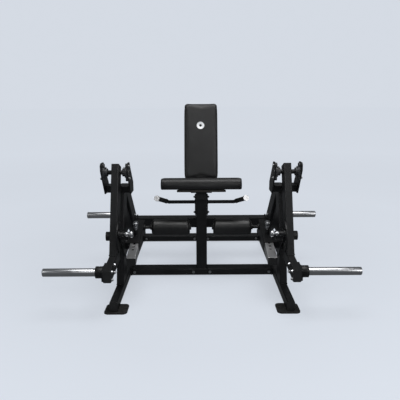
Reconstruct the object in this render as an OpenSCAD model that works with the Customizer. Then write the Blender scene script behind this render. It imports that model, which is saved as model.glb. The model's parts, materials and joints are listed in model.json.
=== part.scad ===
// Plate-loaded seated leg machine with two independent swinging levers.
// Millimetres, +Z up, the seated user faces -Y, +X is the right side as seen from the front.
// The origin is on the floor, under the middle of the whole machine.

/* [Overall] */
// Distance from the middle plane to the centre of each floor rail and A-frame leg
rail_x = 560; // [540:1:580]
// Distance from the middle plane to the centre of each swinging lever
lever_x = 570; // [560:1:580]
// Front and rear end of the machine, measured from the origin
half_depth = 862; // [855:1:880]

/* [Tubes] */
// Wall thickness of the frame tubes
wall = 3; // [2.5:0.5:4]
// Outer corner radius of the frame tubes
tube_r = 6; // [4:1:8]
// Width of the rails, legs and levers
rail_w = 50; // [50:1:50]
// Height of the floor rails
rail_h = 65; // [60:1:70]
// Depth of the levers and cross beams
leg_d = 100; // [100:1:100]
// Depth of the front and rear legs
strut_d = 120; // [110:1:125]
// Height of the two floor cross beams
beam_h = 50; // [45:1:55]

/* [A-frames] */
// Backward lean of the front legs from vertical, in degrees
front_lean = 16; // [15:0.5:17]
// Middle of the front leg where it meets the rail
front_leg_y = -423; // [-430:1:-415]
// Forward and rear reach of the yoke tube on top of the front leg
yoke_y = [-310, -210];
// Bottom and top of the yoke tube
yoke_z = [682, 730];
// Inner and outer yoke plate, measured from the centre of the lever
yoke_x = [-77, 90];
// Thickness of the yoke plates
yoke_t = 8; // [6:1:10]
// Height of the two bearing bolts above and below the pivot
flange_bolt = 42; // [40:1:44]

/* [Lever] */
// Place of the lever's pivot, Y and Z
pivot = [-385, 838];
// Forward lean of the hanging lever from vertical at rest, in degrees
lever_lean = 22; // [21:0.5:23]
// Radius of the pivot shaft
shaft_r = 15; // [12:1:16]
// Distance down the lever from the pivot to the roller arm's hub
hub_drop = 427; // [420:1:435]
// Radius of the indexing disc around the hub
disc_r = 100; // [95:1:105]
// Radius of the ring of indexing holes
ring_r = 80; // [76:1:84]

/* [Weight horns] */
// Radius of the horns that the plates slide onto
horn_r = 25; // [25:0.1:25]
// Distance from the middle plane to the tip of the loading horns
horn_tip_x = 975; // [960:1:985]
// Distance from the middle plane to the tip of the storage horns
store_tip_x = 915; // [900:1:930]
// Length of the collar at the root of a storage horn and of a loading horn
store_collar = 14; // [12:1:16]
load_collar = 45; // [40:1:50]

/* [Roller arm] */
// Distance from the middle plane to the centre of the roller arm
arm_x = 459; // [450:1:460]
// Downward slope of the arm towards the front, in degrees
arm_slope = 12.5; // [11:0.5:14]
// Width and height of the sliding tube
slide_w = 60; // [60:1:60]
slide_h = 54; // [50:1:56]
// Radius of the foam roller
foam_r = 61; // [55:1:64]
// Inner and outer end of the foam roller, from the middle plane
foam_x = [90, 360];

/* [Seat] */
// Width of the seat pad
seat_w = 580; // [540:1:590]
// Depth of the seat pad, front to rear
seat_d = 325; // [310:1:325]
// Thickness of the seat pad
seat_t = 86; // [75:1:90]
// Backward tilt of the seat, in degrees
seat_tilt = 11; // [10:0.5:12]
// Front end of the seat's lower face, Y and Z
seat_low = [-272, 690];
// Width of the backrest
back_w = 265; // [240:1:270]
// Length of the backrest
back_l = 604; // [560:1:610]
// Thickness of the backrest
back_t = 75; // [60:1:80]
// Backward lean of the backrest, in degrees
back_lean = 18.5; // [18:0.5:19]

/* [Hidden] */
$fn = 64;
fit = 0.05;                 // radial clearance of a shaft in its bearing
gap = 0.3;                  // clearance between parts that only touch
pad_t = 8;                  // thickness of the floor pads
board_t = 15;               // thickness of the plywood boards
root_r = horn_r - 1;        // radius of a horn inside its collar
weld = 1;                   // how far welded pieces of one node run into each other
foot_r = tube_r + 1.5;       // corner rounding of the loading feet
rail_top = pad_t + rail_h;
beam_top = pad_t + beam_h;
rail_y = [-752, 828];
foot_x = 548;                           // middle of the foot pads, whose bolts straddle the rail
foot_y = [-709, half_depth - 69];
foot_bolt = 56;
front_beam_y = [-155, -55];
rear_beam_y = [665, 765];
upper_beam_y = [212, 312];
upper_beam_z = [275, 355];
flange_t = 8;
beam_half = rail_x - rail_w / 2 - flange_t;
post_w = 80;
post_y = [-152, -72];
disc_x = lever_x - rail_w / 2;          // inner face of the lever, where the disc is welded
disc_t = 9;
plate_t = 8;
hub = [pivot[0] - hub_drop * sin(lever_lean), pivot[1] - hub_drop * cos(lever_lean)];
spigot_r = 20;
pin_dir = 154;                          // direction from the hub to the indexing pin, from +Y
pin_at = [hub[0] + ring_r * cos(pin_dir), hub[1] + ring_r * sin(pin_dir)];
bracket_x = disc_x - disc_t - 4;        // outer face of the arm bracket
spigot_l = 49;                          // length of the hub spigot inside the disc
foot_tilt = 4.7;                        // the loading foot falls this much towards the front
foot_h = 76;
foot_l = 330;
foot_rear = [-530, 347];                // rear end of the foot's top face
horn_at = [-261, -38];                  // horn axis in the foot's frame
sleeve_w = 70;
sleeve_h = 64;
sleeve_front = [-433, 330];             // front end of the sleeve, on its axis
sleeve_l = 240;
slide_l = 490;
slide_ahead = 186;                      // length of the sliding tube ahead of the sleeve
pin_y = 111;                            // pull pin on the sleeve, behind its front end
hole_pitch = 38;                        // spacing of the holes in the sliding tube
hole_r = 9;                             // radius of those holes
ring_hole_r = 6.3;                      // radius of the holes in the indexing disc
socket_h = 42;                          // height of the pull pin's socket above the sleeve
carrier_y = [241, 335];                 // front and rear end of the roller carrier
bar_at = 275;                           // roller bar behind the sleeve's front end
bar_r = 12;
store_at = [160, 398];                  // storage horn on the rear leg
rear_leg_a = [-29, 565.3];              // two points on the rear leg's axis
rear_leg_b = [157, 386.8];
bar_y = -118;                           // handle bar
bar_z = 570;
bar_end = 238;
grip_end = [306, -318, 642];

// ---------- shapes that repeat ----------

module round_rect(w, d, r) {
    square([w - 2 * r, d], center = true);
    square([w, d - 2 * r], center = true);
    for (x = [-1, 1], y = [-1, 1])
        translate([x * (w / 2 - r), y * (d / 2 - r)]) circle(r);
}

// Hollow rectangular tube along +Z, w along X and d along Y.
module tube(w, d, l, t = wall, r = tube_r) {
    linear_extrude(l) difference() {
        round_rect(w, d, r);
        round_rect(w - 2 * t, d - 2 * t, max(r - t, 1.5));
    }
}

// Plate welded inside a tube, z above the tube's end.
module end_plate(w, d, z) {
    translate([0, 0, z]) linear_extrude(wall) round_rect(w - wall, d - wall, 4);
}

// Puts a child that runs along +Z onto the line from a towards b, both [Y, Z] at x.
module along(x, a, b) {
    translate([x, a[0], a[1]]) rotate([atan2(a[0] - b[0], b[1] - a[1]), 0, 0]) children();
}

// Round bar from a to b.
module rod(a, b, r) {
    d = b - a;
    translate(a) rotate([0, acos(d[2] / norm(d)), atan2(d[1], d[0])]) cylinder(r = r, h = norm(d));
}

// Puts a child drawn in the YZ plane, thickness along +X, at x.
module in_yz(x, t) {
    translate([x, 0, 0]) rotate([90, 0, 90]) linear_extrude(t) children();
}

// Cylinder along +X from x0 to x1 at [Y, Z].
module axle(x0, x1, at, r) {
    translate([x0, at[0], at[1]]) rotate([0, 90, 0]) cylinder(r = r, h = x1 - x0);
}

// Everything is drawn on the right and mirrored for the left.
module on_left() {
    mirror([1, 0, 0]) children();
}

module both_sides() {
    children();
    mirror([1, 0, 0]) children();
}

// Hexagon bolt head with its washer, standing on the XY plane, pointing +Z.
module bolt_head(r = 9) {
    cylinder(r = r * 1.35, h = 2);
    translate([0, 0, 2]) cylinder(r = r, h = 7, $fn = 6);
    translate([0, 0, 2]) cylinder(r = r * 0.55, h = 8.5);
}

// ---------- floor frame ----------

module base_rail() {
    color("#1b1c1e")
    translate([rail_x, rail_y[0], pad_t + rail_h / 2]) rotate([-90, 0, 0])
        tube(rail_w, rail_h, rail_y[1] - rail_y[0]);
}

module rail_end_caps() {
    color("#0d0d0e") both_sides()
    for (y = [rail_y[0] - 4, rail_y[1]])
        translate([rail_x, y, pad_t + rail_h / 2]) rotate([-90, 0, 0])
            linear_extrude(4) round_rect(rail_w, rail_h, tube_r);
}

module foot_pads() {
    color("#121213") both_sides()
    for (y = foot_y)
        translate([foot_x, y, 0]) difference() {
            linear_extrude(pad_t) round_rect(146, 138, 28);
            for (x = [-foot_bolt, foot_bolt])
                translate([x, 0, -1]) cylinder(r = 6.5, h = pad_t + 2);
        }
}

module cross_beam(y, z, h) {
    translate([-beam_half, (y[0] + y[1]) / 2, z + h / 2]) rotate([0, 90, 0])
        tube(h, y[1] - y[0], 2 * beam_half);
}

module floor_cross_beams() {
    color("#1a1b1d") {
        cross_beam(front_beam_y, pad_t, beam_h);
        cross_beam(rear_beam_y, pad_t, beam_h);
    }
}

module upper_rear_beam() {
    color("#1a1b1d") cross_beam(upper_beam_y, upper_beam_z[0], upper_beam_z[1] - upper_beam_z[0]);
}

module beam_flanges() {
    x = rail_x - rail_w / 2 - flange_t;
    color("#1a1b1d") both_sides() {
        for (y = [front_beam_y, rear_beam_y])
            in_yz(x, flange_t - gap) translate([(y[0] + y[1]) / 2, pad_t + beam_h / 2 + 4])
                round_rect(leg_d + 14, beam_h + 8, 6);
        in_yz(x, flange_t - gap) translate([(upper_beam_y[0] + upper_beam_y[1]) / 2 - 8, 315])
            round_rect(leg_d + 4, 100, 8);
    }
}

module rear_brace() {
    color("#1a1b1d") intersection() {
        along(0, [upper_beam_y[1] - 60, 348], [690, 40]) tube(60, 60, 700);
        translate([-100, upper_beam_y[1], beam_top]) cube([200, 450, 400]);
    }
}

// ---------- A-frames ----------

module front_leg() {
    top = [front_leg_y + (yoke_z[0] - rail_top) * tan(front_lean), yoke_z[0]];
    base = [front_leg_y, rail_top];
    dir = (top - base) / norm(top - base);
    color("#202123") intersection() {
        along(rail_x, base - 60 * dir, top) tube(rail_w, strut_d, norm(top - base) + 120);
        translate([rail_x - 50, -900, rail_top]) cube([100, 1200, yoke_z[0] - rail_top]);
    }
}

module rear_leg() {
    color("#1d1e20") difference() {
        rear_leg_solid(0);
        rear_leg_solid(wall);
        in_yz(rail_x - rail_w, 2 * rail_w) polygon([
            [front_leg_y, 500], [front_leg_back(500) + gap, 500],
            [front_leg_back(yoke_z[0]) + gap, yoke_z[0]], [front_leg_y, yoke_z[0]]
        ]);
    }
}

// Solid shape of the rear leg, drawn smaller by inset and longer at its open ends.
module rear_leg_solid(inset) {
    dir = (rear_leg_b - rear_leg_a) / norm(rear_leg_b - rear_leg_a);
    low = rail_top - inset;
    intersection() {
        along(rail_x, rear_leg_a - 400 * dir, rear_leg_b) linear_extrude(1300)
            round_rect(rail_w - 2 * inset, strut_d - 2 * inset, max(tube_r - inset, 1.5));
        translate([rail_x - 50, yoke_y[1] - inset, low]) cube([100, 900, yoke_z[1] - 22 - inset - low]);
    }
}

// Height of the rear leg's lower face at y.
function rear_leg_under(y) = rear_leg_a[1]
    + (rear_leg_a[0] - y) * (rear_leg_a[1] - rear_leg_b[1]) / (rear_leg_b[0] - rear_leg_a[0])
    - strut_d / 2 * norm(rear_leg_b - rear_leg_a) / (rear_leg_b[0] - rear_leg_a[0]);

// Rear face of the front leg at height z.
function front_leg_back(z) = front_leg_y + (z - rail_top) * tan(front_lean)
    + strut_d / 2 / cos(front_lean);

module leg_gussets() {
    low = 285;
    low_y = 176;
    top_y = -185;
    top = rear_leg_under(top_y) - 2;
    color("#141415") both_sides()
    in_yz(rail_x - 5, 10) difference() {
        polygon([
            [front_leg_back(top) + gap, top],
            [front_leg_back(low) + gap, low],
            [low_y - gap, rear_leg_under(low_y) - gap],
            [top_y, top]
        ]);
        translate([-80, low - 130]) circle(r = 190);
    }
}

module yoke_tubes() {
    color("#1d1e20") both_sides()
    translate([lever_x + yoke_x[0], (yoke_y[0] + yoke_y[1]) / 2, (yoke_z[0] + yoke_z[1]) / 2])
        rotate([0, 90, 0]) tube(yoke_z[1] - yoke_z[0], leg_d, yoke_x[1] - yoke_x[0]);
}

module yoke_outline() {
    difference() {
        union() {
            polygon([[-322, 676], [-434, 850], [-434, 882], [-412, 902],
                [-356, 902], [-330, 880], [-198, 738], [-198, 676]]);
            translate([-412, 880]) circle(r = 22);
            translate([-356, 872]) circle(r = 30);
        }
        translate(pivot) circle(r = shaft_r + 4);
        for (z = [-flange_bolt, flange_bolt])
            translate(pivot + [0, z]) circle(r = 5.5);
    }
}

module yoke_plates() {
    color("#1b1c1e") both_sides()
    for (x = [yoke_x[0] - yoke_t, yoke_x[1]])
        in_yz(lever_x + x, yoke_t) yoke_outline();
}

// Two-bolt flange bearing on the lever side of each yoke plate.
module bearing_housings() {
    color("#2a2b2d") both_sides()
    for (s = [0, 1])
        translate([lever_x + yoke_x[s], pivot[0], pivot[1]]) rotate([0, 90 - s * 180, 0])
        difference() {
            union() {
                translate([-flange_bolt, -18, 0]) cube([2 * flange_bolt, 36, 13]);
                for (z = [-flange_bolt, flange_bolt]) translate([z, 0, 0]) cylinder(r = 18, h = 13);
                cylinder(r = 36, h = 18);
                cylinder(r = 27, h = 34);
            }
            translate([0, 0, -1]) cylinder(r = shaft_r + fit, h = 40);
            for (z = [-flange_bolt, flange_bolt])
                translate([z, 0, -1]) cylinder(r = 5.5, h = 20);
        }
}

module stop_bumpers() {
    z = (yoke_z[0] + yoke_z[1]) / 2;
    reach = yoke_y[0] - (pivot[0] - (pivot[1] - z) * tan(lever_lean) + leg_d / 2 / cos(lever_lean));
    color("#0b0b0c") both_sides()
    difference() {
        translate([lever_x, yoke_y[0], z]) rotate([90, 0, 0]) cylinder(r = 19, h = reach + 12);
        translate([lever_x, pivot[0], pivot[1]]) rotate([-lever_lean, 0, 0])
            translate([-40, -60 - gap, -400]) cube([80, 110 + 2 * gap, 500]);
    }
}

module storage_horns() {
    color("#c9ccd0") both_sides()
    translate([rail_x + rail_w / 2, store_at[0], store_at[1]]) rotate([0, 90, 0])
        horn(store_tip_x - rail_x - rail_w / 2, store_collar);
}

// Plated horn along +Z with a closed, chamfered tip and a thinner root inside its collar.
module horn(l, root) {
    rotate_extrude() polygon([[0, l], [horn_r - 3, l], [horn_r, l - 3], [horn_r, root],
        [root_r, root], [root_r, 0], [horn_r - 4, 0], [horn_r - 4, l - 8], [0, l - 8]]);
}

module storage_horn_collars() {
    color("#151516") both_sides()
    translate([rail_x + rail_w / 2, store_at[0], store_at[1]]) rotate([0, 90, 0])
        difference() {
            translate([0, 0, gap]) cylinder(r = 36, h = store_collar - 2 * gap);
            translate([0, 0, -1]) cylinder(r = root_r + fit, h = 20);
        }
}

// ---------- seat, backrest and handles ----------

// Frame of the seat: origin on the front end of the pad's lower face, +Y along the seat.
module in_seat() {
    translate([0, seat_low[0], seat_low[1]]) rotate([-seat_tilt, 0, 0]) children();
}

// Frame of the backrest: origin at the foot of the pad's back face, +Z up the pad.
module in_back() {
    translate([0, 133, 683]) rotate([-back_lean, 0, 0]) children();
}

module seat_pad() {
    color("#161617") in_seat()
    translate([-seat_w / 2, seat_d / 2, seat_t / 2]) rotate([90, 0, 90])
        linear_extrude(seat_w) round_rect(seat_d, seat_t, 36);
}

module seat_board() {
    color("#2b2118") in_seat()
    translate([0, seat_d / 2 + 5, -board_t]) linear_extrude(board_t - gap)
        round_rect(350, seat_d - 70, 30);
}

module seat_bracket() {
    color("#1b1c1e") in_seat()
    translate([0, 0, -board_t - 6]) difference() {
        translate([0, 185, 0]) linear_extrude(6 - gap) round_rect(150, 250, 10);
        for (x = [-58, 58], y = [85, 285])
            translate([x, y, -1]) cylinder(r = 4.5, h = 8);
    }
}

rail_under = -board_t - 6 - 50;

module seat_rail() {
    color("#1b1c1e") intersection() {
        in_seat() translate([0, 90, -board_t - 6 - 25]) rotate([-90, 0, 0]) {
            tube(post_w, 50, 520);
            end_plate(post_w, 50, 2);
        }
        translate([-100, -400, 400]) cube([200, 400 + 212, 400]);
    }
}

module seat_post() {
    color("#17181a") difference() {
        translate([0, (post_y[0] + post_y[1]) / 2, beam_top])
            tube(post_w, post_y[1] - post_y[0], 700 - beam_top);
        in_seat() translate([-100, -200, rail_under]) cube([200, 800, 400]);
    }
}

module back_column() {
    color("#17181a") difference() {
        translate([0, 250, upper_beam_z[1]]) tube(75, 75, 470);
        in_back() translate([-100, -400, -200]) cube([200, 400 + board_t + 50 + gap, 1200]);
    }
}

module backrest_pad() {
    color("#161617") in_back()
    translate([0, 0, back_l / 2]) rotate([90, 0, 0]) linear_extrude(back_t)
        round_rect(back_w, back_l, 24);
}

module backrest_board() {
    color("#2b2118") in_back()
    translate([0, board_t, back_l / 2]) rotate([90, 0, 0]) linear_extrude(board_t - gap)
        round_rect(back_w - 24, back_l - 40, 16);
}

module backrest_upright() {
    color("#17181a") in_back()
    translate([0, board_t + 25, 20]) {
        tube(60, 50, 470);
        end_plate(60, 50, 2);
        end_plate(60, 50, 470 - 2 - wall);
    }
}

// Each handle is a bent bar welded to a plate that is bolted to the side of the post.
module handle_bars() {
    a = [bar_end, bar_y, bar_z];
    color("#1b1c1e") both_sides() {
        in_yz(post_w / 2, plate_t) translate([(post_y[0] + post_y[1]) / 2, 550])
            round_rect(66, 150, 10);
        rod([post_w / 2 + plate_t - weld, bar_y, bar_z], a, 12.5);
        translate(a) sphere(r = 13.2);
        rod(a, grip_end, 12.5);
    }
}

// Point on the handle, from its bend (0) to its end (1).
function handle_point(t) = [bar_end, bar_y, bar_z] + t * (grip_end - [bar_end, bar_y, bar_z]);

module handle_grips() {
    color("#0c0c0d") both_sides()
    difference() {
        rod(handle_point(0.22), handle_point(0.985), 16);
        rod(handle_point(0.1), handle_point(1.1), 12.5 + fit);
    }
}

module handle_end_caps() {
    color("#c9ccd0") both_sides()
    difference() {
        rod(handle_point(1.003), handle_point(1.05), 20);
        rod(handle_point(0.9), handle_point(1.003), 21);
    }
}

// ---------- fasteners of the frame ----------

module frame_bolts() {
    inner = rail_x - rail_w / 2;
    color("#d8d9db") {
        for (s = [-1, 1]) {
            for (y = [front_beam_y[0], rear_beam_y[0]])
                for (x = [62, 508])
                    translate([s * x, y, pad_t + beam_h / 2]) rotate([90, 0, 0]) bolt_head(8);
            translate([s * 505, upper_beam_y[0], 315]) rotate([90, 0, 0]) bolt_head(8);
            translate([s * inner, store_at[0], store_at[1]]) rotate([0, -s * 90, 0]) bolt_head(11);
            for (z = [492, 608])
                translate([s * (post_w / 2 + plate_t), bar_y, z]) rotate([0, s * 90, 0]) bolt_head(7);
            for (z = [-flange_bolt, flange_bolt]) {
                translate([s * (lever_x + yoke_x[0] - yoke_t), pivot[0], pivot[1] + z])
                    rotate([0, -s * 90, 0]) bolt_head(8);
                translate([s * (lever_x + yoke_x[1] + yoke_t), pivot[0], pivot[1] + z])
                    rotate([0, s * 90, 0]) bolt_head(8);
            }
        }
    }
}

// ---------- swinging levers ----------

// Frame of the lever: origin at the pivot, the beam hangs along -Z.
module in_lever() {
    translate([lever_x, pivot[0], pivot[1]]) rotate([-lever_lean, 0, 0]) children();
}

// Frame of the loading foot: origin at the rear end of its top face.
module in_foot() {
    translate([lever_x, foot_rear[0], foot_rear[1]]) rotate([foot_tilt, 0, 0]) children();
}

module lever() {
    color("#1f2022") difference() {
        union() {
            intersection() {
                in_lever() translate([0, 0, -640]) tube(rail_w, leg_d, 640 + 45);
                in_foot() translate([-100, -500, -weld]) cube([200, 1000, 900]);
            }
            in_foot() translate([0, -foot_l, -foot_h / 2]) rotate([-90, 0, 0])
                tube(rail_w, foot_h, foot_l, wall, foot_r);
            axle(disc_x - disc_t, disc_x + weld, hub, disc_r);
            axle(disc_x - disc_t - spigot_l, lever_x + rail_w / 2 + 10, hub, spigot_r);
            axle(lever_x + rail_w / 2 - weld, lever_x + rail_w / 2 + 30, hub, 30);
            axle(disc_x - disc_t - spigot_l - 7, disc_x - disc_t - spigot_l + weld, hub, 27);
            in_lever() axis_sleeve(shaft_r + 7);
            in_foot() translate([rail_w / 2 - weld, horn_at[0], horn_at[1]]) rotate([0, 90, 0])
                linear_extrude(10 + weld) round_rect(foot_h - 6, 128, 6);
        }
        in_lever() translate([-60, 0, 0]) rotate([0, 90, 0]) cylinder(r = shaft_r + fit, h = 120);
        for (a = [pin_dir - 30 : 15 : pin_dir + 45])
            axle(disc_x - disc_t - 1, disc_x + weld + 1, hub + ring_r * [cos(a), sin(a)], ring_hole_r);
    }
}

// Welded sleeve that carries the shaft through the beam.
module axis_sleeve(r) {
    translate([-rail_w / 2 - 3, 0, 0]) rotate([0, 90, 0]) cylinder(r = r, h = rail_w + 6);
}

module lever_shaft() {
    color("#b9bcc0") axle(lever_x + yoke_x[0] - yoke_t - 3,
        lever_x + yoke_x[1] + yoke_t + 3, pivot, shaft_r);
}

module lever_end_caps() {
    color("#0d0d0e") {
        in_lever() translate([0, 0, 45]) linear_extrude(3) round_rect(rail_w, leg_d, tube_r);
        for (y = [-foot_l - 3, 0])
            in_foot() translate([0, y, -foot_h / 2]) rotate([-90, 0, 0])
                linear_extrude(3) round_rect(rail_w, foot_h - 3, foot_r);
    }
}

module weight_horn() {
    x = rail_w / 2 + 10;
    color("#c9ccd0") in_foot() translate([x, horn_at[0], horn_at[1]]) rotate([0, 90, 0])
        horn(horn_tip_x - lever_x - x, load_collar);
    color("#d8d9db") in_foot()
    for (y = [-50, 50], z = [-26, 26])
        translate([-rail_w / 2, horn_at[0] + y, horn_at[1] + z]) rotate([0, -90, 0]) bolt_head(8);
}

module horn_collar() {
    x = rail_w / 2 + 10;
    color("#151516") in_foot() translate([x, horn_at[0], horn_at[1]]) rotate([0, 90, 0])
        difference() {
            translate([0, 0, gap]) cylinder(r = 37, h = load_collar - 2 * gap);
            translate([0, 0, -1]) cylinder(r = root_r + fit, h = 50);
            translate([0, 0, 22]) rotate([0, -90, 0]) translate([0, 0, root_r - 2]) cylinder(r = 4, h = 20);
        }
}

// ---------- roller arms ----------

// Frame of the arm: origin on the sleeve's axis at its front end, +Y rearward along the axis.
module in_arm() {
    translate([arm_x, sleeve_front[0], sleeve_front[1]]) rotate([arm_slope, 0, 0]) children();
}

module arm_bracket() {
    outer = bracket_x;
    side = arm_x + sleeve_w / 2;
    a = sleeve_front;
    color("#1d1e20") difference() {
        union() {
            in_yz(outer - plate_t, plate_t) {
                translate(hub) circle(r = 46);
                translate(pin_at) circle(r = 20);
                polygon([hub + [-46, -2], pin_at + [-20, -4], pin_at + [-4, 20], hub + [-12, 44]]);
                polygon([hub + [-44, -14], hub + [28, 38], a + [150, 62], a + [165, -58], a + [10, -74]]);
            }
            axle(disc_x - disc_t - spigot_l + 2, outer - plate_t / 2, hub, 33);
            axle(side + 2, outer - plate_t / 2, pin_at, 15);
            in_arm() translate([sleeve_w / 2, 12, -24])
                cube([outer - plate_t / 2 - side, 130, 48]);
        }
        axle(side - 40, outer + 10, hub, spigot_r + fit);
        axle(side - 40, outer + 10, pin_at, ring_hole_r);
    }
}

module arm_sleeve() {
    color("#232426") in_arm() difference() {
        union() {
            rotate([-90, 0, 0]) linear_extrude(sleeve_l) round_rect(sleeve_w, sleeve_h, 6);
            translate([0, pin_y, sleeve_h / 2 - weld]) cylinder(r = 13, h = socket_h + weld);
        }
        translate([0, -1, 0]) rotate([-90, 0, 0]) linear_extrude(sleeve_l + 2)
            round_rect(slide_w + 2 * gap, slide_h + 2 * gap, 4);
        translate([0, pin_y, 0]) cylinder(r = hole_r, h = 120);
    }
}

module slide_tube() {
    color("#b9bcbf") in_arm() difference() {
        translate([0, -slide_ahead, 0]) rotate([-90, 0, 0]) tube(slide_w, slide_h, slide_l, 3, 4);
        for (k = [-5 : 3])
            translate([0, pin_y + k * hole_pitch, 0]) cylinder(r = hole_r, h = 60);
    }
}

// Plastic plug in the open front end of the sliding tube.
module slide_plug() {
    color("#0d0d0e") in_arm() translate([0, -slide_ahead, 0]) rotate([90, 0, 0]) {
        linear_extrude(4) round_rect(slide_w, slide_h, 4);
        translate([0, 0, -16]) linear_extrude(16)
            round_rect(slide_w - 6 - gap, slide_h - 6 - gap, 2);
    }
}

// Carrier block over the rear end of the sliding tube, with the roller's bar welded to it.
module roller_bar() {
    at = bar_point();
    side = arm_x - sleeve_w / 2;
    rear = slide_l - slide_ahead + gap;
    color("#1d1e20") {
        in_arm() difference() {
            translate([0, carrier_y[0], 0]) rotate([-90, 0, 0])
                linear_extrude(carrier_y[1] - carrier_y[0]) round_rect(sleeve_w, sleeve_h, 6);
            translate([0, carrier_y[0] - 1, 0]) rotate([-90, 0, 0])
                linear_extrude(rear - carrier_y[0] + 1) round_rect(slide_w + 2 * gap, slide_h + 2 * gap, 4);
        }
        axle(foam_x[0] - 6, side + weld, at, bar_r);
        axle(foam_x[0] - 14, foam_x[0] - 6 + weld, at, 19);
        axle(foam_x[1] + 6, foam_x[1] + 16, at, 19);
        axle(side - 10, side + weld, at, 22);
    }
}

function bar_point() = sleeve_front + bar_at * [cos(arm_slope), sin(arm_slope)];

// Plastic hub tube of the roller with its two end flanges.
module roller_core() {
    at = bar_point();
    color("#0e0e0f") difference() {
        union() {
            axle(foam_x[0] - 4, foam_x[1] + 4, at, 20);
            axle(foam_x[0] - 4, foam_x[0], at, 46);
            axle(foam_x[1], foam_x[1] + 4, at, 46);
        }
        axle(foam_x[0] - 10, foam_x[1] + 10, at, bar_r + fit);
    }
}

module foam_roller() {
    at = bar_point();
    color("#1a1a1b") difference() {
        axle(foam_x[0] + gap, foam_x[1] - gap, at, foam_r);
        axle(foam_x[0] - 10, foam_x[1] + 10, at, 20 + fit);
    }
}

// Spring pin with a flanged, domed knob: the nose ends at z = 0, the knob starts at barrel.
module pull_pin(barrel, r) {
    color("#d4d6d8") rotate_extrude() polygon([[0, 0], [r, 0], [r, barrel + gap], [8, barrel + gap],
        [8, barrel + 8], [15, barrel + 8], [15, barrel + 22], [9, barrel + 22], [9, barrel + 30],
        [13, barrel + 30], [20, barrel + 38], [21.5, barrel + 46], [20, barrel + 54],
        [15, barrel + 59], [0, barrel + 61]]);
}

module length_pin() {
    in_arm() translate([0, pin_y, slide_h / 2 + 1])
        pull_pin((sleeve_h - slide_h) / 2 - 1 + socket_h, hole_r - gap);
}

module angle_pin() {
    side = arm_x + sleeve_w / 2 + 2;
    nose = bracket_x + 1;
    translate([nose, pin_at[0], pin_at[1]]) rotate([0, -90, 0]) pull_pin(nose - side, ring_hole_r - gap);
}

// ---------- nodes ----------

on_left() base_rail();  // base_rail_left
base_rail();  // base_rail_right
on_left() front_leg();  // front_leg_left
front_leg();  // front_leg_right
on_left() rear_leg();  // rear_leg_left
rear_leg();  // rear_leg_right
leg_gussets();
yoke_tubes();
yoke_plates();
floor_cross_beams();
upper_rear_beam();
rear_brace();
beam_flanges();
seat_post();
seat_rail();
back_column();
seat_bracket();
seat_board();
seat_pad();
backrest_upright();
backrest_board();
backrest_pad();
handle_bars();
handle_grips();
handle_end_caps();
foot_pads();
rail_end_caps();
storage_horns();
storage_horn_collars();
bearing_housings();
frame_bolts();
stop_bumpers();
on_left() lever();  // lever_left
lever();  // lever_right
on_left() lever_shaft();  // lever_shaft_left
lever_shaft();  // lever_shaft_right
on_left() lever_end_caps();  // lever_end_caps_left
lever_end_caps();  // lever_end_caps_right
on_left() weight_horn();  // weight_horn_left
weight_horn();  // weight_horn_right
on_left() horn_collar();  // horn_collar_left
horn_collar();  // horn_collar_right
on_left() arm_bracket();  // arm_bracket_left
arm_bracket();  // arm_bracket_right
on_left() arm_sleeve();  // arm_sleeve_left
arm_sleeve();  // arm_sleeve_right
on_left() slide_tube();  // slide_tube_left
slide_tube();  // slide_tube_right
on_left() slide_plug();  // slide_plug_left
slide_plug();  // slide_plug_right
on_left() roller_bar();  // roller_bar_left
roller_bar();  // roller_bar_right
on_left() roller_core();  // roller_core_left
roller_core();  // roller_core_right
on_left() foam_roller();  // foam_roller_left
foam_roller();  // foam_roller_right
on_left() angle_pin();  // angle_pin_left
angle_pin();  // angle_pin_right
on_left() length_pin();  // length_pin_left
length_pin();  // length_pin_right
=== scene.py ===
"""Looks of the plate-loaded leg machine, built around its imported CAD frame. Metres, +Z up."""
import json
import math

import bmesh
import bpy
from mathutils import Matrix, Vector, noise
from mathutils.bvhtree import BVHTree


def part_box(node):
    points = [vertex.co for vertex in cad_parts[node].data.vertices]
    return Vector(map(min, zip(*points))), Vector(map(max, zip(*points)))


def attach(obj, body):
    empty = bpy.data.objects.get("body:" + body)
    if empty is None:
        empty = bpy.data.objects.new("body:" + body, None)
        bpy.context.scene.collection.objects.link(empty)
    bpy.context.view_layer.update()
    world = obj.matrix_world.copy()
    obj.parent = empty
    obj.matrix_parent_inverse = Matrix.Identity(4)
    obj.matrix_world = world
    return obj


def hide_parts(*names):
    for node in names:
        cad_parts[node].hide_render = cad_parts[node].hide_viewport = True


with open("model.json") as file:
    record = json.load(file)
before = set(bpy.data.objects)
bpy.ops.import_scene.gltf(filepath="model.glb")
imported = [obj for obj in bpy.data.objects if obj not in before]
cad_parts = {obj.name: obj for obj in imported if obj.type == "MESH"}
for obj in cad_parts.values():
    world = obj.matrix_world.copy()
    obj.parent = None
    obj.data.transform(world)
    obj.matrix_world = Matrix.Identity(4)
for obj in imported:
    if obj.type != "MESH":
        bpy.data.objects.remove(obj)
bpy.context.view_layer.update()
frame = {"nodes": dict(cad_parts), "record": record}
JOINT_AT = {j["name"]: j["pos_m"] for j in frame["record"]["behaviour"]["joints"] if "pos_m" in j}

# ---- stage ----
CAMERA_AT = Vector((-0.01, -3.46, 1.36))
CAMERA_PITCH = math.radians(13.08)      # below the horizon
CAMERA_ROLL = math.radians(-0.32)
LENS_MM = 41.85
BACKDROP = (0.665, 0.708, 0.776)        # pale blue-grey, linear
FLOOR_R = 40.0
# Floor glow against distance in tens of metres, dimmer near the machine: painted shade round it.
# FLOOR_LIT is the share of real light.
FLOOR_GLOW_AND_SHADE, FLOOR_LIT = [(0.12, 0.745), (0.2, 0.81), (0.3, 0.865), (0.8, 0.95)], 0.33
DOME_GLOW = [(0.0, 1.0), (1.0, 1.0)]
WORLD_LIGHT = 0.12

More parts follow.
